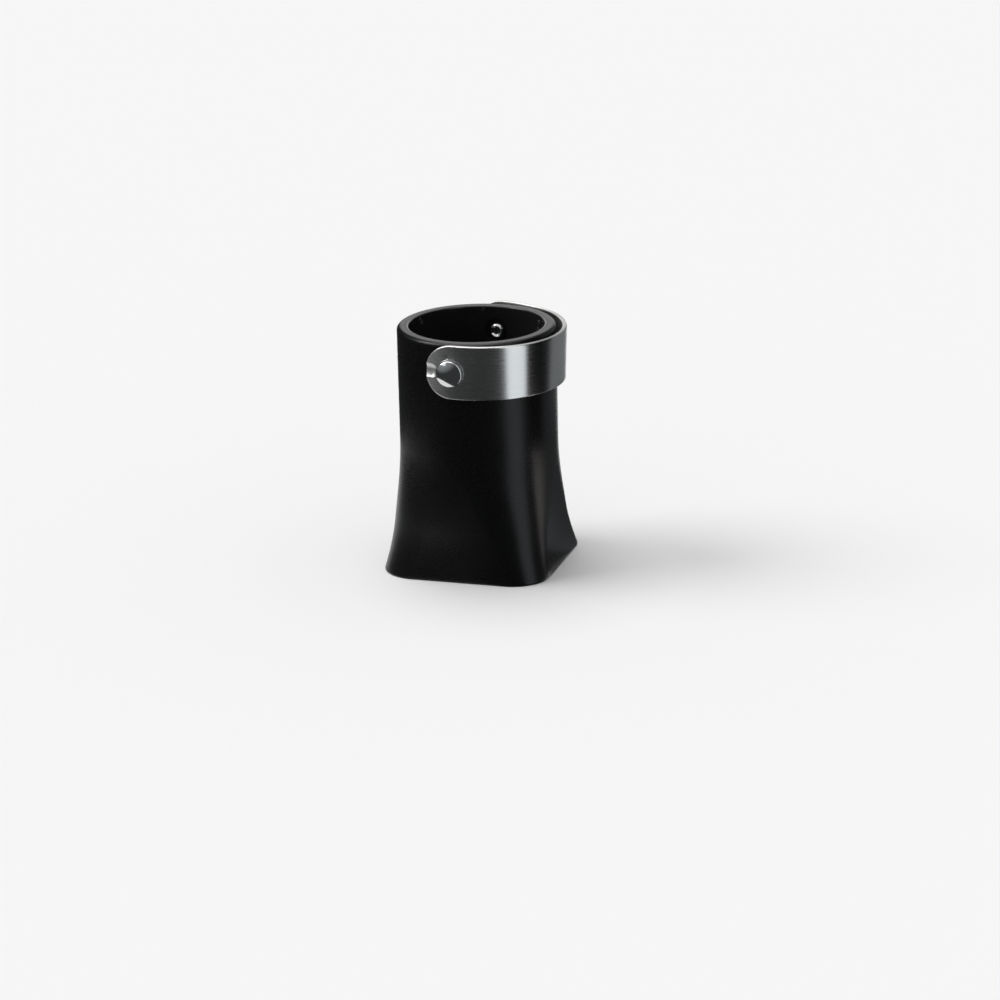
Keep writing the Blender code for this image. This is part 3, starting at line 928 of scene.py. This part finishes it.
mirror = Finish(bpy.data.materials.new("buffed_nut_steel"))
mirror_place, *_ = mirror.spot()
haze = mirror.noise(mirror_place, 1.1 * MM, 3.0)
buffing = mirror.noise(from_pivot(mirror), 0.16 * MM)
mirror_material = mirror.shade({
    "Base Color": mirror.tint(haze, (0.7, 0.7, 0.7), (0.82, 0.82, 0.82)),
    "Metallic": 1.0,
    "Roughness": 0.06 + 0.06 * haze + 0.03 * buffing,
    "Normal": mirror.relief(buffing, 0.0008 * MM),
})
nut_top = nut_seat + nut_rim + nut_dome_rise
# The dome stops three points short of its edge, where the rounding takes over.
nut_outline = rounded([
    (0, nut_top, 0),
    *((r, nut_top - drop, 0) for r, drop in dome(nut_radius, nut_ball, dome_steps)[:-3]),
    (nut_radius, nut_seat + nut_rim, nut_edge_round),
    (nut_radius, nut_seat, nut_chamfer),
    (nut_shank, nut_seat, 0),
    (nut_shank, shank_end, nut_chamfer),
    (nut_thread, shank_end, 0),
    (nut_thread, thread_end, 0),
    (0, thread_end, 0),
], nut_edge_steps)
for place, side in pivot_sides:
    nut_bm = bmesh.new()
    turned(nut_bm, side, nut_outline, closed=False)
    name = f"domed_nut_{place}"
    nut = show(name, solid(name, nut_bm), mirror_material)
    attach(nut, "opener")
    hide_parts(f"pivot_nut_{place}")

# Pivot screws
# Button-head screws with a hexagon socket, machined from stainless bar, that go out through
# the barrel's wall into the nuts. Their low heads lie in round seats in the bore.
screw_radius, screw_root, thread_pitch = 1.2 * MM, 1.0 * MM, 0.45 * MM
thread_starts, thread_stops = 20.5 * MM, 24.7 * MM
screw_tip, tip_chamfer = 24.9 * MM, 0.2 * MM
head_radius, head_rise, head_rim = 2.1 * MM, 1.0 * MM, 0.3 * MM
under_head = 19.9 * MM
head_end = under_head - head_rim - head_rise
head_ball = (head_radius ** 2 + head_rise ** 2) / (2 * head_rise)
socket_width, socket_depth = 2.0 * MM, 1.05 * MM
socket_mouth, socket_throat, mouth_depth = 1.55 * MM, 1.2 * MM, 0.42 * MM
socket_chamfer = 0.07 * MM
screw_round = 0.06 * MM
thread_rows = 84


def screw_shape(r, distance, turn):
    """A hexagon inside the socket's mouth, a thread on the shank, and round elsewhere."""
    if r < socket_throat and distance < under_head:
        off_flat = (turn + math.pi / 6) % (math.pi / 3) - math.pi / 6
        return r / math.cos(off_flat)
    if thread_starts < distance < thread_stops:
        phase = (distance / thread_pitch + turn / (2 * math.pi)) % 1
        return r - (screw_radius - screw_root) * abs(2 * phase - 1)
    return r


machined = Finish(bpy.data.materials.new("machined_screw_steel"))
machined_place, _, north, _ = machined.spot()
tool_marks = machined.noise(from_pivot(machined), 0.07 * MM, 3.0)
screw_cloud = machined.noise(machined_place, 0.9 * MM)
# Painted shade: the colour is darker, and rougher, deep in the hex socket and at the thread's
# roots.
recess_painted_shade = machined.ease(north.reckon("ABSOLUTE"), 18.7 * MM, 19.4 * MM) * (
    1 - machined.ease(from_pivot(machined), 1.0 * MM, 1.15 * MM))
machined_material = machined.shade({
    "Base Color": machined.tint(
        0.5 * tool_marks + 0.4 * screw_cloud - 0.4 * recess_painted_shade,
        (0.46, 0.46, 0.46), (0.76, 0.76, 0.76)),
    "Metallic": 1.0,
    "Roughness": 0.12 + 0.1 * tool_marks + 0.12 * recess_painted_shade,
    "Normal": machined.relief(tool_marks, 0.002 * MM),
})
button = [
    (r, head_end + drop) for r, drop in dome(head_radius, head_ball, dome_steps)
    if r > socket_mouth]
mouth_edge = button[0][1] + screw_round
screw_outline = [
    (0, screw_tip),
    (screw_root - tip_chamfer, screw_tip),
    (screw_root, screw_tip - tip_chamfer),
    *((screw_radius, thread_stops + (thread_starts - thread_stops) * j / thread_rows)
      for j in range(thread_rows + 1)),
    (screw_radius, under_head),
    (head_radius - screw_round, under_head),
    (head_radius, under_head - screw_round),
    *reversed(button),
    (socket_mouth - screw_round, mouth_edge),
    (socket_throat, mouth_edge + mouth_depth - socket_chamfer),
    (socket_width / 2, mouth_edge + mouth_depth),
    (socket_width / 2, head_end + socket_depth),
    (0, head_end + socket_depth + socket_chamfer),
]
for place, side in pivot_sides:
    screw_bm = bmesh.new()
    turned(screw_bm, side, screw_outline, closed=False, shape=screw_shape)
    name = f"button_screw_{place}"
    screw = show(name, solid(name, screw_bm), machined_material)
    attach(screw, "opener")
    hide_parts(f"pivot_screw_{place}")
